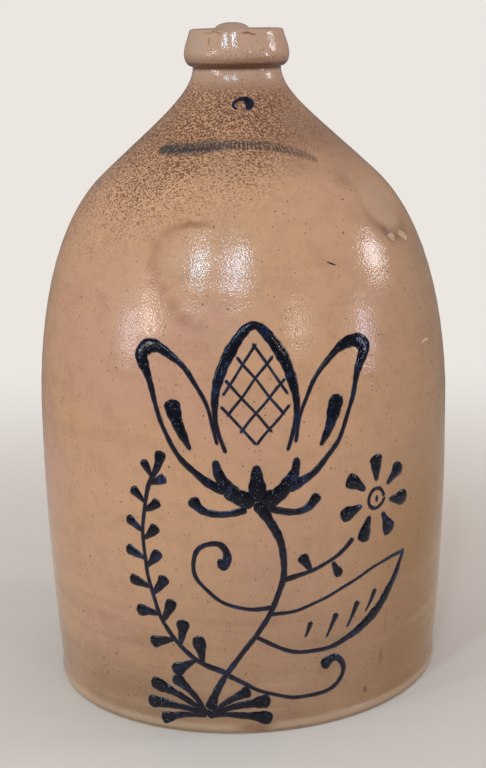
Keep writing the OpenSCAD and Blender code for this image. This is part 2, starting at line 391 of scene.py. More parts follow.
# Rounds off a row of values: each becomes the mean of its neighbours under a cosine bell, with
# the ends carried on point-symmetrically so that they stay where they are.
def softened(values, count):
    count = min(count, (len(values) - 2) // 2)
    if count < 1:
        return values
    bell = np.hanning(2 * count + 3)[1:-1]
    before = 2 * values[0] - values[count:0:-1]
    after = 2 * values[-1] - values[-2:-count - 2:-1]
    return np.convolve(np.concatenate([before, values, after]), bell / bell.sum(), "valid")


# A trail of slip on the wall: along a line of [right, up, width] points it is a low dome, as high
# as the root of one less the distance from its middle squared, rounded at both ends, with a thin
# skirt where the colour has bled. Up is measured along the wall.
def slipTrail(points, origin=(0, 0), radius=None, strength=1, flat=1, seed=0):
    radius = radius or jug["belly"]
    line, along = throughPoints(points, slip["spacing"])
    line = np.column_stack([softened(column, int(slip["soften"] / slip["spacing"])) for column in line.T])
    rng = np.random.default_rng(seed)
    # The hand sways a little and the slip runs unevenly
    for k, size, pitch in slip["sways"]:
        line[:, k] += size * np.sin(2 * np.pi * along / pitch + rng.uniform(0, 6.3))
    for size, pitch in slip["swells"]:
        line[:, 2] *= 1 + size * np.sin(2 * np.pi * along / pitch + rng.uniform(0, 6.3))
    # The width is rounded off at both ends, and three more rows there carry the skirt round them
    half = line[:, 2] / 2
    for s, r in ((along, half[0]), (along[-1] - along, half[-1])):
        half = half * np.sqrt(1 - (1 - np.clip(s / max(r, 0.3), 0, 1))**2)
    half = np.r_[0, 0, 0, half, 0, 0, 0][:, None]
    lead = np.array([1, 0.8, 0.45])
    narrow = np.sqrt(1 - lead**2)
    spread = slip["skirt"] * np.r_[narrow, np.ones(len(line)), narrow[::-1]][:, None]
    xy, lead = line[:, :2], slip["skirt"] * lead
    xy = np.vstack([xy[0] - np.outer(lead, unit(xy[1] - xy[0])), xy,
                    xy[-1] + np.outer(lead[::-1], unit(xy[-1] - xy[-2]))])
    heading = unit(np.gradient(xy, axis=0))
    dome = np.array(slip["domeSteps"])
    high = flat * np.minimum(slip["high"], slip["domeSlope"] * half)
    tip = 0.35 + 0.65 * np.minimum(1, np.maximum(half, 0.02) / 0.35)

    # Across the trail: one half, its mirror image, and a point under the middle that closes it
    def across(left, sign, under):
        left = np.hstack(left)
        return np.hstack([left, sign * left[:, ::-1], np.full(half.shape, under)])

    offset = across([half + spread * slip["skirtSteps"], half * dome], -1, 0)
    domeRise = slip["domeRise"] + high * np.sqrt(1 - dome**2)
    rise = across([slip["skirtRise"] + 0 * half, domeRise], 1, slip["bed"])
    ink = across([strength * tip * slip["ink"]], 1, 0)
    thick = np.minimum(1, half / slip["thickFrom"]) + 0 * ink
    x = xy[:, :1] - offset * heading[:, 1:]
    y = xy[:, 1:] + offset * heading[:, :1]
    co, faces = closedGrid(wallPoint(origin[0] + np.degrees(x / radius), origin[1] + y, rise))
    ends = lambda v: np.r_[v.ravel(), v[0].mean(), v[-1].mean()]
    return (co, faces), ends(ink), ends(thick)


# The painted spray in cobalt slip: a latticed tulip on a curved stem, a rosette and buds on
# branches, a double-lined leaf, curls and a tuft. Each line has [right, up, width] points in mm
# from the front of the foot, and the slip pools where the hand slowed down. A name in place of
# the points is that line's mirror image across the middle of the tulip.
tulipMiddle = 6
spray = {
    "stem": [[-20, 14, 6.2], [-16, 26, 3.2], [-5, 43, 2.2], [9, 62, 2.2], [18, 83, 2.6], [18, 102, 3.2],
             [11, 117, 4.6], [6, 126, 7.4]],
    "cupLeft": [[5, 125, 8.2], [-5, 129, 7.6], [-12, 138, 5.2], [-14, 147, 2.2]],
    "cupRight": "cupLeft",
    "cupMiddle": [[6, 125, 8.5], [6, 135, 7.6], [6, 144, 2.4]],
    "sepalLeft": [[1, 122, 3.4], [-11, 119, 2.8], [-21, 121, 3.6], [-27, 127, 6.4]],
    "sepalRight": [[11, 122, 3.4], [23, 119, 2.8], [32, 121, 3.6], [37, 127, 5.6]],
    "petalLeft": [[-9, 131, 5.6], [-22, 138, 3.2], [-35, 152, 2], [-43, 170, 1.9], [-48, 186, 3.4],
                  [-53, 197, 7.4], [-46, 201, 6], [-35, 196, 3], [-25, 186, 1.9], [-17, 171, 1.4],
                  [-13, 154, 1.3]],
    "petalRight": "petalLeft",
    "petalMiddle": [[-9, 150, 1.4], [-14, 168, 2.2], [-12, 186, 4.6], [-5, 201, 5.4], [6, 212, 3.6],
                    [17, 201, 5.4], [24, 186, 4.6], [26, 168, 2.2], [21, 150, 1.4]],
    "fillLeft": [[-26, 151, 1.4], [-32, 163, 5.4], [-36, 176, 8.4]],
    "fillRight": "fillLeft",
    "leafUnder": [[4, 55, 1.8], [24, 45, 1.6], [48, 45, 2.2], [71, 56, 5.4], [84, 70, 4.2], [93, 86, 2]],
    "leafOver": [[93, 86, 2], [75, 84, 1.3], [52, 76, 1.2], [29, 68, 1.2], [11, 66, 1.6]],
    "branch": [[18, 84, 2.6], [31, 87, 1.7], [45, 92, 1.6], [57, 101, 2.6]],
    "curlLeft": [[13, 70, 2.2], [-2, 70, 1.4], [-16, 76, 1.4], [-26, 88, 1.6], [-24, 101, 2],
                 [-13, 104, 2.4], [-9, 96, 4.2], [-14, 92, 6.8]],
    "curlLow": [[-10, 34, 2.4], [6, 25, 1.5], [27, 19, 1.6], [47, 21, 2], [54, 30, 2.4], [48, 38, 3.4],
                [40, 34, 6.8]],
    "root": [[-22, 11, 8.4], [-19, 13, 8.4]],
}
# One way of the tulip's lattice: the ends of each line; the other way is its mirror image
lattice = [[-8, 168, 15, 197], [-10, 178, 7, 203], [-2, 160, 21, 186], [6, 154, 23, 173]]
# Drops: right, up, direction, length, width at the far end
drops = [[30, 52, 60, 9, 2.6], [42, 50, 58, 14, 2.8], [54, 53, 56, 15, 3], [66, 59, 55, 13, 2.8],
         [33, 87, 112, 11, 6.4], [45, 91, 290, 10, 5.6]]
vine = {"line": [[-11, 35, 2.8], [-28, 43, 2], [-43, 60, 1.8], [-51, 84, 1.6], [-53, 108, 1.5],
                 [-49, 130, 1.8], [-43, 143, 3.4], [-41, 150, 8]],
        "pairs": 8, "first": 0.1, "last": 0.86, "lean": [62, 50], "long": [15, 10], "wide": [7.4, 5.4]}
rosette = {"centre": [71, 119], "petals": 7, "inner": 9, "outer": 23, "petal": 9.4,
           "thin": 1.4, "ring": 5.4, "heart": 5}
# Strokes: direction, length, how far they bend aside, width
tuft = {"base": [-21, 11],
        "strokes": [[176, 26, -6, 6.4], [158, 33, -9, 7.4], [138, 34, -9, 7.6], [118, 27, -6, 6.6],
                    [44, 26, 5, 6.4], [27, 33, 8, 7.4], [9, 33, 8, 7.4]]}


# Mirror image of a line across the middle of the tulip.
def mirrored(points):
    return [[2 * tulipMiddle - x, *rest] for x, *rest in points]


def sprayLines():
    return [mirrored(spray[line]) if isinstance(line, str) else line for line in spray.values()]


# Lines of the tulip's lattice, both ways, each bent a little.
def latticeLines():
    lines = [[[a, b, 1], [(a + c) / 2, (b + d) / 2 + 0.4, 0.8], [c, d, 1.1]] for a, b, c, d in lattice]
    return lines + [mirrored(line) for line in lines]


# A stroke from its start at an angle: reach along it, aside to its left, and the widths.
def stroke(start, angle, reach, aside, wide):
    way = np.array([np.cos(np.radians(angle)), np.sin(np.radians(angle))])
    side = np.array([-way[1], way[0]])
    return np.column_stack([start + np.outer(reach, way) + np.outer(aside, side), wide])


# Lines of the rosette: petals that thicken outward, round a ring and a heart.
def rosetteLines(p):
    share = np.array([0, 0.45, 0.8, 1])
    reach = p["inner"] + (p["outer"] - p["inner"]) * share
    wide = p["thin"] + (p["petal"] - p["thin"]) * np.array([0, 0.45, 0.95, 1])
    turns = 90 + 360 * np.arange(p["petals"]) / p["petals"]
    lines = [stroke(p["centre"], angle, reach, 1.2 * share**2, wide) for angle in turns]
    a = np.radians(np.arange(0, 372, 24))
    x, y = p["centre"]
    ring = [x + p["ring"] * np.cos(a), y + p["ring"] * np.sin(a), np.full(len(a), 1.5)]
    return lines + [np.column_stack(ring), [[x - 1, y, p["heart"]], [x + 1, y, p["heart"]]]]


# Lines of the tuft: commas from the base, thicker towards the end, which bends aside.
def tuftLines(p):
    share, swell = np.array([0.04, 0.35, 0.68, 0.9, 1]), np.array([0.28, 0.36, 0.55, 0.95, 1])
    return [stroke(p["base"], angle, length * share, -bend * share**2, wide * swell)
            for angle, length, bend, wide in p["strokes"]]


# Lines of the drops: a thin start and a round, heavy end, slightly bent.
def dropLines(rows):
    share, swell = np.array([0, 0.4, 0.75, 1]), np.array([0.22, 0.5, 0.9, 1])
    return [stroke([x, y], angle, length * share, 0.12 * length * share**2, wide * swell)
            for x, y, angle, length, wide in rows]


# Rows of drops in pairs along the vine: they leave it at the lean on either side of its heading
# and grow smaller towards its end.
def leafletRows(p):
    line = throughPoints(p["line"], 0.5)[0]
    heading = np.degrees(np.arctan2(np.gradient(line[:, 1]), np.gradient(line[:, 0])))
    rows = []
    for side in (-1, 1):
        share = np.linspace(p["first"], p["last"], p["pairs"]) + 0.03 * (side > 0)
        where = (share * (len(line) - 1)).astype(int)
        small = (share - p["first"]) / (p["last"] - p["first"])
        turn, long, wide = (a + (b - a) * small for a, b in (p["lean"], p["long"], p["wide"]))
        rows += np.column_stack([line[where, :2], heading[where] + side * turn, long, wide]).tolist()
    return rows


# Joins many trails into one piece, with how much slip lies at each point.
def trailPiece(name, trails, material):
    parts = [t[0] for t in trails]
    values = {key: np.concatenate([t[k] for t in trails]) for k, key in ((1, "ink"), (2, "thick"))}
    return makePiece(name, parts, material, values)


numeral = {
    "angle": 4.6, "height": 308.4,
    "hook": [[-2.6, -3.4, 0.8], [-4.9, -2.6, 0.8], [-5.4, 0.3, 1], [-3.2, 3, 1.4], [0.2, 3.6, 2.4],
             [3.2, 2, 4.4], [3.4, -1, 4.2], [1.6, -4, 1.6]],
    "tail": [[1.6, -4, 0.5], [-0.6, -6.6, 0.4], [-4.2, -9, 0.5], [0, -8.2, 0.4], [5, -8.8, 0.4]],
}
band = {"line": [[-47.5, 287.4], [-34, 287.8], [-20, 288.8], [-5, 289.9], [10.5, 289.4], [25.4, 287.3],
                 [40, 281.9]],
        "wide": 6, "lift": 0.06, "dip": 0.35, "bed": -0.5, "slant": 1.4, "steps": 520, "across": 21}


# The washed band below the numeral: a film just off the wall along a line of [angle, height]
# points; its border dips into the wall. Its points know how far along and across they lie.
def bandGrid(p):
    line = throughPoints(p["line"], 0.2)[0]
    share = np.linspace(0, 1, p["steps"])
    angle, height = (np.interp(share, np.linspace(0, 1, len(line)), column) for column in line.T)
    radius = radiusAt(height)
    aside, up = np.diff(np.radians(angle)) * radius[1:], np.diff(height) * p["slant"]
    run = np.r_[0, np.cumsum(np.hypot(aside, up))]
    across = np.linspace(-1, 1, p["across"])
    fromEnd = np.minimum(run, run[-1] - run) / p["wide"]
    rounded = np.sqrt(np.clip(1 - (1 - fromEnd).clip(0)**2, 0, 1)) + 0.02
    length = lengthAt(height)[:, None] + p["wide"] * rounded[:, None] * across
    lift = p["lift"] - p["dip"] * (abs(across) > 0.95)
    top = wallPoint(angle[:, None] + 0 * length, length, lift + 0 * length)
    bed = wallPoint(angle, lengthAt(height), p["bed"])[:, None, :]
    co, faces = closedGrid(np.concatenate([top, bed], 1))
    width = p["across"] + 1
    u = np.repeat(run, width)
    v = np.tile(np.r_[across, 0], len(run))
    return (co, faces), np.r_[u, 0, run[-1]], np.r_[v, 0, 0]


crumbs = [{"angle": 55.4, "height": 243.4, "size": [3.4, 2.2, 1.5], "seed": 3},
          {"angle": 64.6, "height": 242, "size": [2.8, 3.8, 1.6], "seed": 8}]


# A crumb of clay stuck to the wall: a ball in the wall's own directions whose radius swells and
# shrinks by a few sine waves.
def crumbGrid(p):
    rng = np.random.default_rng(p["seed"])
    up = np.linspace(0.04, np.pi - 0.04, 26)[:, None]
    a = fullTurn(40)
    ball = np.stack([np.sin(up) * np.cos(a), np.sin(up) * np.sin(a), np.cos(up) + 0 * a], -1)
    size = 1 + sum(0.06 * np.sin(ball @ rng.normal(0, 2.2, 3) + rng.uniform(0, 6)) for wave in range(5))
    ball = ball * size[..., None] * p["size"] * mm
    length = lengthAt(p["height"])
    here = wallPoint(p["angle"], length)
    right = unit(wallPoint(p["angle"] + 0.5, length) - here)
    above = unit(wallPoint(p["angle"], length + 0.5) - here)
    return closedGrid(here + ball @ np.array([right, above, np.cross(right, above)]))


# Short ways to add nodes. An input is a value or another node's output, and the node goes into
# the tree of its first input that is an output, unless a tree is given.
def addNode(kind, inputs=None, tree=None, **settings):
    inputs = inputs or {}
    isOutput = {key: isinstance(value, bpy.types.NodeSocket) for key, value in inputs.items()}
    if tree is None:
        tree = next(value.id_data for key, value in inputs.items() if isOutput[key])
    node = tree.nodes.new("ShaderNode" + kind)
    for key, value in settings.items():
        setattr(node, key, value)
    for key, value in inputs.items():
        if isOutput[key]:
            tree.links.new(value, node.inputs[key])
        else:
            node.inputs[key].default_value = value
    return node


def calc(operation, *values):
    return addNode("Math", dict(enumerate(values)), operation=operation).outputs[0]


# The same operation over several values in a row.
def overAll(operation):
    return lambda *values: reduce(partial(calc, operation), values)


times, plus, minus, larger = map(overAll, ("MULTIPLY", "ADD", "SUBTRACT", "MAXIMUM"))


def unsigned(value):
    return calc("ABSOLUTE", value)


# Keeps a sum or a product between 0 and 1.
def capped(value):
    value.node.use_clamp = True
    return value


def vectorCalc(operation, a, b=(0, 0, 0)):
    node = addNode("VectorMath", {0: a, 1: b}, operation=operation)
    return node.outputs["Value" if operation in ("LENGTH", "DOT_PRODUCT") else "Vector"]


# Goes from first to last between low and high, level at both ends.
def ease(value, low, high, first=0, last=1):
    inputs = {"Value": value, "From Min": low, "From Max": high, "To Min": first, "To Max": last}
    return addNode("MapRange", inputs, interpolation_type="SMOOTHSTEP").outputs["Result"]


def mixColour(share, a, b, blend="MIX"):
    a, b = ((*c, 1) if isinstance(c, tuple) else c for c in (a, b))
    return addNode("Mix", {0: share, 6: a, 7: b}, data_type="RGBA", blend_type=blend).outputs[2]


# The colour mixed with a tone by the product of some shares.
def tint(colour, tone, *shares):
    return mixColour(times(*shares), colour, tone)


def mapped(place, stretch, shift):
    return addNode("Mapping", {"Vector": place, "Scale": stretch, "Location": shift}).outputs[0]


def noise(place, scale, detail=2, rough=0.5, stretch=(1, 1, 1), shift=(0, 0, 0)):
    if stretch != (1, 1, 1) or any(shift):
        place = mapped(place, stretch, shift)
    inputs = {"Vector": place, "Scale": scale, "Detail": detail, "Roughness": rough}
    return addNode("TexNoise", inputs).outputs["Fac"]


# Scattered cells: how far the middle of the nearest is, and its own random number.
def cells(place, scale):
    found = addNode("TexVoronoi", {"Vector": place, "Scale": scale}).outputs
    return found["Distance"], addNode("SeparateColor", {0: found["Color"]}).outputs[0]


def xyz(place):
    return addNode("SeparateXYZ", {0: place}).outputs


def connect(node, **values):
    for label, value in values.items():
        node.id_data.links.new(value, node.inputs[label])


# A new group with named inputs and outputs: gives its inputs and the node that takes its outputs.
def newGroup(name, ins, outs):
    tree = bpy.data.node_groups.new(name, "ShaderNodeTree")
    for side, sockets in (("INPUT", ins), ("OUTPUT", outs)):
        for label, kind in sockets.items():
            tree.interface.new_socket(label, in_out=side, socket_type="NodeSocket" + kind)
    return tree.nodes.new("NodeGroupInput").outputs, tree.nodes.new("NodeGroupOutput")


def useGroup(group, **inputs):
    return addNode("Group", inputs, node_tree=group).outputs


# Colour from the numbers that an image editor shows.
def shade(r, g, b):
    c = np.array([r, g, b]) / 255
    return tuple(float(x) for x in np.where(c < 0.04045, c / 12.92, ((c + 0.055) / 1.055)**2.4))


# Soft-edged spot: Mask is 1 inside an oval round Centre with half sizes Reach and 0 outside, and
# Rim is 1 along the oval's border on the side that Toward points to.
def spotGroup():
    vectors = dict.fromkeys(("Place", "Centre", "Reach", "Toward"), "Vector")
    i, last = newGroup("softSpot", {**vectors, "Edge": "Float"}, {"Mask": "Float", "Rim": "Float"})
    away = vectorCalc("DIVIDE", vectorCalc("SUBTRACT", i["Place"], i["Centre"]), i["Reach"])
    far = vectorCalc("LENGTH", away)
    facing = vectorCalc("DOT_PRODUCT", away, i["Toward"])
    rim = times(ease(unsigned(minus(far, 1)), 0, i["Edge"], 1, 0), ease(facing, 0.1, 0.8))
    connect(last, Mask=ease(far, minus(1, i["Edge"]), 1, 1, 0), Rim=rim)
    return last.id_data


# Salt glaze over stoneware clay: warm tan with pinkish blushes, olive and darker towards the foot and on the
# right, partly painted shade there, faint turning streaks, iron specks, a smoky ring with a net of brown
# pits round the shoulder, and an orange-peel height in mm.
glaze = {
    "tan": shade(198, 153, 117), "blush": shade(195, 149, 122), "low": shade(142, 112, 84),
    "right": shade(160, 129, 100), "lowRightOliveShade": shade(140, 101, 48), "top": shade(186, 151, 128),
    "net": shade(108, 65, 44), "smoke": shade(137, 101, 78), "iron": shade(62, 40, 32),
    "haze": shade(186, 158, 128), "pale": shade(228, 173, 131),
    # Where they begin and end, across (x) or up (z) in metres, and how strong they are there
    "blushAcross": (-0.02, 0.08, 1, 0.3), "rightShadeAcross": (0.038, 0.105), "lowRightUp": (0.16, 0.08),
    "lowUp": (0.16, 0), "lowAcross": (-0.09, -0.01, 0.45, 1), "footUp": (0.06, 0.02),
    "streakUp": (0.1, 0.02, 0.13, 0.36), "hazeUp": (0.1, 0.02, 0, 0.3), "topUp": (0.308, 0.324),
    "smokeUp": (0.268, 0.296), "smokeEnd": (0.324, 0.312),
    "pitsUp": (0.239, 0.296), "pitsEnd": (0.325, 0.312), "pitsAcross": (0, 0.06, 1, 0.16),
    "collarUp": (0.326, 0.329), "collarEnd": (0.341, 0.333, 0, 0.38),
    "smoothUp": (0.312, 0.324, 0, 0.07), "pitsLean": 0.3, "pitsSway": 0.03,
    # Noise scales, and heights in mm
    "blushScale": 10, "driftScale": 15, "streakScale": 7, "mottleScale": 85, "wispScale": 24,
    "patchScale": 32, "pitScale": 920, "speckScale": 165, "grainScale": 380, "peelScale": 960,
    "glossScale": 20, "peelHigh": 0.1, "pitDeep": 0.03,
}


def glazeGroup(p):
    i, last = newGroup("saltGlazeSkin", {"Place": "Vector", "Pits": "Float", "Gloss": "Float"},
                       {"Colour": "Color", "Roughness": "Float", "Height": "Float"})
    place = i["Place"]
    x, z = xyz(place)["X"], xyz(place)["Z"]
    blush = times(ease(noise(place, p["blushScale"], 2), 0.4, 0.64), ease(x, *p["blushAcross"]))
    colour = mixColour(blush, p["tan"], p["blush"])
    drift = ease(noise(place, p["driftScale"], 3, shift=(3, 1, 2)), 0.3, 0.66)
    # Olive and darker towards the foot, partly painted shade
    low = capped(times(ease(z, *p["lowUp"]), plus(times(drift, 0.4), 0.62)))
    low = times(low, larger(ease(x, *p["lowAcross"]), ease(z, *p["footUp"])))
    colour = tint(colour, p["low"], low)
    # Olive and darker on the right, partly painted shade of the side turned from the light
    right = capped(times(ease(x, *p["rightShadeAcross"]), plus(times(drift, 0.35), 0.65)))
    colour = tint(colour, mixColour(ease(z, *p["lowRightUp"]), p["right"], p["lowRightOliveShade"]), right)
    streak = noise(place, p["streakScale"], 3, 0.6, stretch=(1, 1, 15))
    colour = tint(colour, p["smoke"], ease(streak, 0.5, 0.72), ease(z, *p["streakUp"]))
    colour = tint(colour, p["haze"], ease(streak, 0.46, 0.3), ease(z, *p["hazeUp"]))
    mottle = noise(place, p["mottleScale"], 4, 0.7, shift=(6, 2, 1))
    colour = tint(colour, p["smoke"], ease(mottle, 0.42, 0.68, 0, 0.2))
    colour = tint(colour, p["top"], ease(z, *p["topUp"]))
    # Smoky ring round the neck and the shoulder
    wisps = noise(place, p["wispScale"], 3, shift=(1, 4, 0))
    smoke = times(ease(z, *p["smokeUp"]), ease(z, *p["smokeEnd"]), ease(wisps, 0.28, 0.66, 0.55, 1), 0.9)
    colour = tint(colour, p["smoke"], smoke)
    # Pits: thick round the numeral, thinning out downward and to the right, and some on the collar
    lean = minus(z, times(x, p["pitsLean"]))
    ring = plus(z, times(minus(wisps, 0.5), p["pitsSway"]))
    patches = ease(noise(place, p["patchScale"], 2, shift=(2, 0, 4)), 0.3, 0.6, 0.72, 1)
    zone = times(ease(lean, *p["pitsUp"]), ease(ring, *p["pitsEnd"]), ease(x, *p["pitsAcross"]), patches)
    collar = times(ease(z, *p["collarUp"]), ease(z, *p["collarEnd"]))
    zone = times(larger(zone, collar), i["Pits"])
    net = noise(place, p["pitScale"], 1, 0.45)
    edge = minus(0.668, times(zone, 0.152))
    pit = times(ease(minus(net, edge), -0.03, 0.05), ease(zone, 0, 0.2))
    colour = tint(colour, p["net"], pit, ease(zone, 0.1, 0.95, 0.16, 0.84))
    between = times(ease(net, 0.47, 0.36), ease(zone, 0, 0.9, 0.08, 0.58))
    colour = tint(colour, p["pale"], between)
    # Iron specks, and a fine grain
    far, luck = cells(place, p["speckScale"])
    size = ease(luck, 0.3, 1, 0.02, 0.08)
    speck = times(ease(minus(far, size), 0, 0.03, 1, 0), ease(luck, 0.3, 0.6))
    colour = tint(colour, p["iron"], speck, 0.66)
    far, luck = cells(place, p["grainScale"])
    colour = tint(colour, p["net"], ease(far, 0.26, 0.1), ease(luck, 0.5, 0.8), 0.5)
    # Height and gloss
    height = times(noise(place, p["peelScale"], 1, 0.4), p["peelHigh"])
    height = minus(height, times(pit, p["pitDeep"]), times(speck, p["pitDeep"]))
    patchy = ease(noise(place, p["glossScale"], 2, shift=(5, 5, 5)), 0.35, 0.7, 0, 0.07)
    rough = plus(minus(patchy, ease(z, *p["smoothUp"])), 0.15, times(pit, 0.16), minus(1, i["Gloss"]))
    connect(last, Colour=colour, Roughness=capped(rough), Height=height)
    return last.id_data


softSpot = spotGroup()
saltGlazeSkin = glazeGroup(glaze)


# Colour, roughness and height of the salt glaze at a place.
def saltSkin(place, pits=1, gloss=1):
    skin = useGroup(saltGlazeSkin, Place=place, Pits=pits, Gloss=gloss)
    return skin["Colour"], skin["Roughness"], skin["Height"]


# A new material: paint gives its colour, roughness and height in mm from the object's coordinates.
def newMaterial(name, paint, **fixed):
    material = bpy.data.materials.new(name)
    material.use_nodes = True
    tree = material.node_tree
    shader = tree.nodes["Principled BSDF"]
    for key, value in fixed.items():
        shader.inputs[key].default_value = value
    colour, rough, height = paint(addNode("TexCoord", tree=tree).outputs["Object"])
    bump = addNode("Bump", {"Height": height, "Distance": mm, "Strength": 1}).outputs[0]
    connect(shader, **{"Base Color": colour, "Roughness": rough, "Normal": bump})
    return material


# Where an angle from the front and a height are on the wall, in metres.
def onWall(angle, height):
    return tuple(wallPoint(angle, lengthAt(height)).tolist())


# The values ink, thick, along and across that a piece keeps on its points.
def readValue(place, name):
    return addNode("Attribute", tree=place.id_data, attribute_name=name).outputs["Fac"]


# Marks on the jug: angle, height, half sizes across and up (mm), colour, strength, soft edge.
marks = [
    # The black nick on the right shoulder
    (26.4, 236.4, 0.9, 0.55, (58, 36, 28), 0.9, 0.6),
    (26.9, 236.05, 0.9, 0.6, (46, 30, 24), 0.9, 0.6),
    (27.4, 235.7, 1, 0.6, (40, 26, 20), 0.95, 0.5),
    (27.9, 235.35, 0.9, 0.6, (46, 30, 24), 0.9, 0.6),
    (28.4, 235, 0.9, 0.55, (58, 36, 28), 0.9, 0.6),
    # A pale scratch at the right edge, and the shade round the crumbs
    (60.4, 190, 6.5, 0.9, (222, 196, 170), 0.7, 0.8),
    (60, 243, 3, 2.2, (108, 76, 54), 0.7, 0.8),
    (52.8, 244.6, 1.6, 0.9, (70, 46, 34), 0.85, 0.7),
    # The thin brown run at the foot, flecks, and the rubbed patch in front
    (43, 48, 1.5, 11, (136, 94, 64), 0.7, 0.9),
    (41.8, 29, 1.7, 11, (124, 84, 54), 0.75, 0.9),
    (36.4, 12.8, 2.2, 2.6, (92, 66, 48), 0.7, 0.7),
    (-43.6, 30.6, 0.8, 2, (96, 58, 40), 0.75, 0.8),
    (-42.8, 24, 0.9, 1.4, (104, 66, 46), 0.6, 0.8),
    (39.4, 263.7, 0.9, 0.8, (60, 44, 36), 0.8, 0.6),
    (34.6, 249.2, 0.9, 0.8, (70, 50, 40), 0.7, 0.6),
    (2, 3.5, 15, 3.4, (128, 88, 58), 0.75, 0.8),
    # Smoky places
    (-27, 47, 22, 5, (150, 112, 84), 0.4, 0.9),
    (54, 247, 6, 2.4, (120, 84, 60), 0.55, 0.9),
    (-75, 268, 4, 3, (112, 118, 128), 0.6, 0.8),
    (46, 272, 11, 10, (146, 114, 86), 0.5, 0.95),
    (44, 300, 14, 12, (150, 124, 100), 0.45, 0.95),
    # The collar: a pale patch that the glaze ran over, brown along its edges, and painted shade under its
    # swell
    (-50, 338, 4.4, 5.2, (178, 156, 136), 0.75, 0.2),
    (-50, 332.5, 4.4, 5.2, (182, 156, 136), 0.6, 0.2),
    (-34, 339.5, 0.6, 4, (120, 84, 62), 0.6, 0.6),
    (15, 342.8, 5.4, 0.9, (96, 60, 38), 0.8, 0.7),
    (-24, 343.2, 12, 0.8, (124, 88, 62), 0.5, 0.8),
    # Painted shade under the collar's swell
    (6, 329.6, 26, 2.2, (140, 104, 78), 0.6, 0.95),
    # A pink blush at the left edge
    (-88, 190, 30, 40, (196, 146, 120), 0.4, 0.95),
    # Brown along the border of the left dent: partly glaze gathered there, partly painted shade of its edge
    (-12.4, 254.9, 8, 2.8, (150, 100, 72), 0.45, 0.95),
    (-16.4, 255, 7.5, 3.2, (140, 88, 60), 0.62, 0.9),
    (-20.2, 253.8, 7, 3.8, (148, 96, 68), 0.5, 0.9),
    (-24, 251, 6, 5.5, (156, 104, 76), 0.42, 0.95),
    (-26.8, 245.5, 5, 8.5, (158, 108, 80), 0.4, 0.95),
    (-27.4, 237.5, 5, 9.5, (158, 108, 80), 0.42, 0.95),
    (-25.6, 230.5, 5.4, 8.5, (158, 106, 80), 0.42, 0.95),
    (-22.6, 224.6, 6, 8, (160, 108, 82), 0.42, 0.95),
    (-19.4, 218.2, 6.4, 7, (156, 104, 78), 0.5, 0.95),
    (-16, 212.2, 7, 5.5, (156, 104, 78), 0.5, 0.95),
    (-12.2, 208.6, 7, 3.8, (162, 110, 84), 0.42, 0.95),
    # Paler inside it
    (-19, 238, 8, 12, (208, 174, 148), 0.35, 0.95),
]
# Tones of the jug alone, and where they begin and end, up in metres.
jugTones = {
    "scoop": shade(190, 158, 128), "scoopRimShade": shade(128, 92, 70), "bead": shade(188, 165, 138),
    "under": shade(120, 84, 62), "creaseShade": shade(88, 54, 36),
    "wire": shade(171, 153, 129), "clay": shade(178, 160, 136),
    "beadUp": (0.0012, 0.0026), "beadEnd": (0.0066, 0.0042, 0, 0.5), "bareUp": (0.0012, 0.0003),
    "underShadeUp": (0.3255, 0.327), "underShadeEnd": (0.334, 0.3285, 0, 0.48),
    "creaseShadeOff": (0.0008, 0.0028, 0.88, 0), "raggedScale": 140, "raggedBy": 0.005, "sharpFrom": 0.9,
    "wireCentre": (0.11, 0.08, 0), "wireScale": 44, "wireBent": 4.5,
}


def jugSkin(place):
    p = jugTones
    colour, rough, height = saltSkin(place)
    z = xyz(place)["Z"]
    swirl = addNode("TexNoise", {"Vector": place, "Scale": p["raggedScale"], "Detail": 3}).outputs["Color"]
    swirl = vectorCalc("MULTIPLY", vectorCalc("SUBTRACT", swirl, (0.5,) * 3), (p["raggedBy"],) * 3)
    ragged = vectorCalc("ADD", place, swirl)

    def spot(where, angle, up, wide, high, edge, toward=(0, 0, 1)):
        return useGroup(softSpot, Place=where, Centre=onWall(angle, up), Edge=edge, Toward=toward,
                        Reach=(wide * mm, wide * mm, high * mm))

    # The scoop on the right is smooth and greyer, with painted shade along its lower-left border
    d = hand["dents"][1]
    scoop = spot(place, d["angle"], d["height"], d["wide"], d["high"], 0.4, (-0.4, 0, -1))
    colour = tint(colour, p["scoop"], scoop["Mask"], 0.5)
    colour = tint(colour, p["scoopRimShade"], scoop["Rim"], 0.6)
    # Paler on the foot's bead: thin glaze there, and a painted highlight along its top
    colour = tint(colour, p["bead"], ease(z, *p["beadUp"]), ease(z, *p["beadEnd"]))
    # The strongest marks have a clean edge and the others a ragged one
    for angle, up, wide, high, tone, strength, edge in marks:
        where = place if strength >= p["sharpFrom"] else ragged
        mask = spot(where, angle, up, wide, high, edge)["Mask"]
        colour = tint(colour, shade(*tone), mask, strength)
    # Brown painted shade on the collar's underside and in the crease beneath it
    colour = tint(colour, p["under"], ease(z, *p["underShadeUp"]), ease(z, *p["underShadeEnd"]))
    creaseShade = unsigned(minus(z, (jug["neckHeight"] + 0.6) * mm))
    colour = tint(colour, p["creaseShade"], ease(creaseShade, *p["creaseShadeOff"]))
    # The foot stood unglazed: paler, rough, with the curved marks of the cutting wire
    bare = ease(z, *p["bareUp"])
    rings = {"Vector": mapped(place, (1, 1, 1), p["wireCentre"]), "Scale": p["wireScale"],
             "Distortion": p["wireBent"], "Detail": 3}
    wire = addNode("TexWave", rings, wave_type="RINGS", rings_direction="Z").outputs["Fac"]
    colour = tint(colour, mixColour(ease(wire, 0.1, 0.9), p["wire"], p["clay"]), bare)
    rough = capped(plus(rough, times(bare, 0.6)))
    return colour, rough, plus(height, times(wire, bare, 0.15))


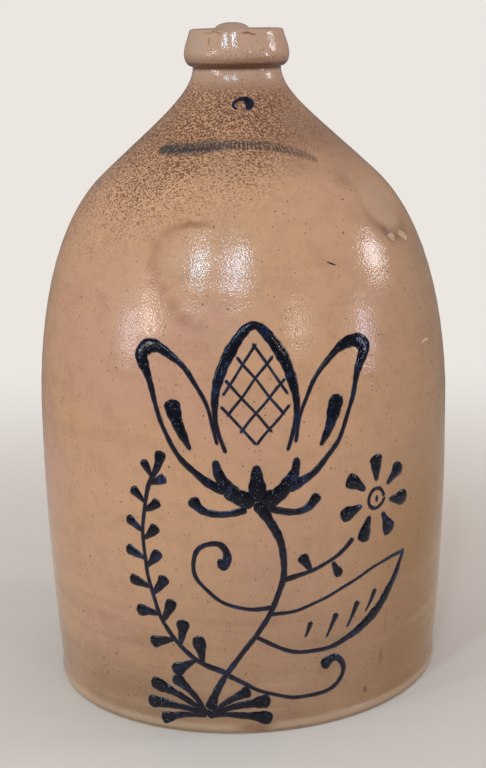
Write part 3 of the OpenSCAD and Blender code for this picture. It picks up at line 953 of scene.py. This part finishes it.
def strapSkin(place):
    colour, rough, height = saltSkin(place, 0.25, 0.86)
    pulled = noise(place, 60, 3, 0.6, stretch=(2.6, 0.5, 0.5))
    colour = tint(colour, shade(176, 150, 132), ease(pulled, 0.35, 0.7, 0.25, 0.6))
    return colour, rough, height


def liningSlip(place):
    thick = noise(place, 38, 4, 0.6)
    colour = mixColour(ease(thick, 0.35, 0.68), shade(44, 24, 17), shade(86, 50, 32))
    return colour, ease(thick, 0.3, 0.7, 0.2, 0.36), times(noise(place, 260, 2), 0.15)


# Cobalt: bled grey over the glaze at the border, and darker the thicker it lies.
cobaltTones = {
    "bled": shade(86, 84, 98), "thin": shade(28, 24, 34), "thick": shade(6, 8, 20),
    "slate": shade(34, 46, 78), "paintedGlint": shade(110, 118, 140),
    "unevenScale": 260, "slateScale": 90, "bubbleScale": 800, "bubbleDeep": 0.05,
}


def cobaltSlip(place):
    p = cobaltTones
    colour, rough, height = saltSkin(place)
    ink, thick = readValue(place, "ink"), readValue(place, "thick")
    ink = plus(ink, times(minus(noise(place, p["unevenScale"], 3, 0.6), 0.5), 0.22))
    colour = tint(colour, p["bled"], ease(ink, 0.05, 0.4, 0, 0.72))
    deep = mixColour(ease(thick, 0.25, 0.8), p["thin"], p["thick"])
    # Thin places in the pools turn slate blue, and tiny burst bubbles get painted glints
    slate = ease(noise(place, p["slateScale"], 3, 0.7, shift=(2, 2, 2)), 0.52, 0.7)
    deep = tint(deep, p["slate"], slate, 0.7)
    far, luck = cells(place, p["bubbleScale"])
    bubble = times(ease(far, 0.32, 0.16), ease(luck, 0.6, 0.75))
    deep = tint(deep, p["paintedGlint"], bubble, ease(thick, 0.4, 0.8, 0, 0.6))
    colour = tint(colour, deep, ease(ink, 0.4, 0.72))
    rough = minus(rough, ease(ink, 0.4, 0.9, 0, 0.03))
    return colour, rough, minus(height, times(bubble, p["bubbleDeep"]))


# The band: a blotchy grey-blue wash, heaviest at the left, over upright pressed ticks. Ramps
# ending in Along run along it from its left end, in mm.
bandTones = {
    "washRight": (0.36, 0.50, 0.72), "washLeft": (0.26, 0.36, 0.52), "end": shade(72, 78, 60),
    "pool": shade(46, 52, 64), "tickLeft": shade(54, 50, 58), "tickRight": shade(84, 64, 58),
    "leftAlong": (48, 26), "washAlong": (20, 56, 0.74, 0.42), "fadeAlong": (90, 74, 0.4, 1),
    "endAlong": (11, 5), "poolAlong": (26, 42, 0.8, 0), "poolFrom": (6, 12),
    "shortAlong": (50, 84, 0, 0.2), "toneAlong": (36, 80), "strengthAlong": (40, 84, 0.76, 0.6),
    "tickPitch": 2.05, "tickDeep": 0.3, "tickSway": 3,
}


def washedBand(place):
    p = bandTones
    colour, rough, height = saltSkin(place)
    u, v = readValue(place, "along"), readValue(place, "across")
    high = unsigned(v)
    cloud = minus(noise(place, 230, 4, 0.75), 0.5)
    # The wash reaches further at the left, where it is also heavier and bluer; the glaze shows through
    left = ease(u, *p["leftAlong"])
    wash = minus(plus(high, times(cloud, 1.5)), plus(times(left, 0.22), 0.66))
    wash = times(ease(wash, -0.5, 0.1, 1, 0), ease(u, *p["washAlong"]), ease(u, *p["fadeAlong"]))
    colour = mixColour(wash, colour, mixColour(left, p["washRight"], p["washLeft"]), "MULTIPLY")
    end = times(ease(u, *p["endAlong"]), ease(high, 0.6, 0.2, 0, 0.5))
    colour = tint(colour, p["end"], end)
    # Colour gathered in a line along the lower edge of the ticks at the left
    pool = unsigned(plus(v, plus(times(cloud, 0.5), 0.2)))
    pool = times(ease(pool, 0.02, 0.2, 1, 0), ease(u, *p["poolAlong"]), ease(u, *p["poolFrom"]))
    colour = tint(colour, p["pool"], pool)
    jitter = times(noise(place, 380, 2), p["tickSway"])
    tick = calc("SINE", times(plus(u, jitter), 2 * np.pi / p["tickPitch"]))
    tall = minus(high, ease(u, *p["shortAlong"]))
    worn = ease(noise(place, 260, 1, shift=(1, 2, 3)), 0.34, 0.54, 0.5, 1)
    tick = times(ease(tick, -0.1, 0.6), ease(tall, 0.5, 0.38), worn)
    dark = mixColour(ease(u, *p["toneAlong"]), p["tickLeft"], p["tickRight"])
    colour = tint(colour, dark, tick, ease(u, *p["strengthAlong"]))
    return colour, rough, minus(height, times(tick, p["tickDeep"]))


def bareClay(place):
    grain = noise(place, 520, 3, 0.6)
    colour = mixColour(ease(grain, 0.3, 0.6), shade(168, 134, 106), shade(198, 166, 136))
    return colour, ease(grain, 0.3, 0.7, 0.75, 0.5), times(grain, 0.12)


glazeShine = {"IOR": 1.5, "Specular IOR Level": 0.5}
saltGlaze = newMaterial("saltGlaze", jugSkin, **glazeShine)
jugPiece = makePiece("jug_shell", [jugShell(jug)], saltGlaze)
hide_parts("jug_body")

strapParts = [closedGrid(strapGrid(strap))] + [closedGrid(smearGrid(**s)) for s in strap["smears"]]
strapGlaze = newMaterial("strapGlaze", strapSkin, **glazeShine)
strapPiece = makePiece("pulled_strap", strapParts, strapGlaze)
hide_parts("strap_handle")

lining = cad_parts["interior_slip_coat"]
lining.data.materials.clear()
lining.data.materials.append(newMaterial("liningSlip", liningSlip, IOR=1.5))

cobalt = newMaterial("cobaltSlip", cobaltSlip, **{"IOR": 1.5, "Specular IOR Level": 0.3})
lines = sprayLines() + [vine["line"]] + dropLines(drops + leafletRows(vine))
lines += rosetteLines(rosette) + tuftLines(tuft) + latticeLines()
trailPiece("cobalt_spray", [slipTrail(line, seed=n) for n, line in enumerate(lines)], cobalt)

numeralPlace = {"origin": (numeral["angle"], lengthAt(numeral["height"])),
                "radius": radiusAt(numeral["height"])}
trailPiece("numeral_two", [slipTrail(numeral["hook"], flat=0.5, **numeralPlace),
                           slipTrail(numeral["tail"], strength=0.32, flat=0.1, **numeralPlace)], cobalt)

part, along, across = bandGrid(band)
wash = newMaterial("washedBand", washedBand, **glazeShine)
makePiece("impressed_band", [part], wash, {"along": along, "across": across})
clay = newMaterial("bareClay", bareClay, IOR=1.45)
makePiece("clay_crumbs", [crumbGrid(c) for c in crumbs], clay)

# The camera stands in front and looks down a little.
view = {"place": (0, -0.8176, 0.3600), "down": 14.01, "roll": -0.98, "lens": 72.47}
cameraData = bpy.data.cameras.new("camera")
cameraData.lens, cameraData.sensor_width = view["lens"], 36
camera = newObject("camera", cameraData)
tilt = Matrix.Rotation(np.radians(90 - view["down"]), 4, "X")
roll = Matrix.Rotation(np.radians(view["roll"]), 4, "Z")
camera.matrix_world = Matrix.Translation(view["place"]) @ tilt @ roll
bpy.context.scene.camera = camera
print("camera set")

# Softboxes: direction from the jug (degrees from the front, above level), distance, size in
# metres, radiance and colour.
lamps = {
    "windowLeft": (-28, 34, 1.7, 0.09, 0.40, 38, (0.52, 0.82, 1)),
    "windowRight": (-7, 34, 1.7, 0.09, 0.46, 36, (0.56, 0.78, 1)),
    "warmLeft": (-52, 15, 1.7, 0.15, 0.30, 25, (1, 0.90, 0.84)),
    "lilacLeft": (-64, 8, 1.7, 0.10, 0.28, 25, (0.72, 0.80, 1)),
    "sideRight": (91, 21, 1.7, 0.38, 0.34, 11.5, (0.98, 0.95, 1)),
    "lilacRight": (70, 4, 1.7, 0.10, 0.36, 24, (0.68, 0.72, 1)),
    "warmRight": (30, 12, 1.7, 0.10, 0.14, 28, (1, 0.90, 0.76)),
}
for name, (turnTo, rise, far, wide, high, power, tone) in lamps.items():
    data = bpy.data.lights.new(name, "AREA")
    data.shape, data.size, data.size_y = "RECTANGLE", wide, high
    data.energy, data.color = power * np.pi * wide * high, tone
    lamp = newObject(name, data)
    a, e = np.radians(turnTo), np.radians(rise)
    way = Vector((np.sin(a) * np.cos(e), -np.cos(a) * np.cos(e), np.sin(e)))
    lamp.location = Vector((0, 0, 0.22)) + way * far
    lamp.rotation_mode = "QUATERNION"
    lamp.rotation_quaternion = way.to_track_quat("Z", "Y")
    lamp.visible_camera = False

# The room: an even fill, fuller on the left, and the pale wall for what the camera and the gloss see.
room = {"left": (0.69, 0.635, 0.58), "right": (0.555, 0.52, 0.515), "gloss": 0.25,
        "wall": shade(235, 230, 224), "floor": shade(222, 216, 208), "floorGrain": shade(208, 200, 190)}


# Which rays see the pale background, and which are glossy.
def rayKinds(tree):
    path = addNode("LightPath", tree=tree).outputs
    return larger(path["Is Camera Ray"], path["Is Transmission Ray"]), path["Is Glossy Ray"]


world = bpy.data.worlds.new("room")
bpy.context.scene.world = world
world.use_nodes = True
seen, glossy = rayKinds(world.node_tree)
toward = xyz(addNode("TexCoord", tree=world.node_tree).outputs["Generated"])["X"]
fill = mixColour(ease(toward, -0.7, 0.9), room["left"], room["right"])
fill = mixColour(glossy, fill, tuple(room["gloss"] * c for c in room["wall"]))
connect(world.node_tree.nodes["Background"], Color=mixColour(seen, fill, room["wall"]))


# The floor: a round sheet whose rings spread outward.
def floorMesh():
    a = fullTurn(128)
    r = np.array([0.02, 0.1, 0.3, 0.8, 2, 5, 12])[:, None]
    top = np.stack([r * np.cos(a), r * np.sin(a), -0.0002 + 0 * r * a], -1)
    under = top[::-1] - [0, 0, 0.01]
    return closedGrid(np.concatenate([top, under]))


# Near the jug the floor is lit and shadowed; further off the camera and the gloss see the wall's tone.
def paleFloor(place):
    grain = noise(place, 30, 3)
    colour = mixColour(ease(grain, 0.3, 0.7, 0, 0.12), room["floor"], room["floorGrain"])
    return colour, ease(grain, 0.3, 0.7, 0.7, 0.85), times(grain, 0.02)


floorMaterial = newMaterial("paleFloor", paleFloor)
tree = floorMaterial.node_tree
seen, glossy = rayKinds(tree)
level = larger(seen, times(glossy, room["gloss"]))
glow = addNode("Emission", {"Color": (*room["wall"], 1), "Strength": level}).outputs[0]
place = addNode("TexCoord", tree=tree).outputs["Object"]
share = times(larger(seen, glossy), ease(vectorCalc("LENGTH", place), 0.2, 0.75))
near = tree.nodes["Principled BSDF"].outputs[0]
connect(tree.nodes["Material Output"], Surface=addNode("MixShader", {0: share, 1: near, 2: glow}).outputs[0])
floor = newObject("floor", newMesh("floor", [floorMesh()], floorMaterial, smooth=False))
print("stage set")

bpy.context.scene.view_settings.view_transform = "Standard"
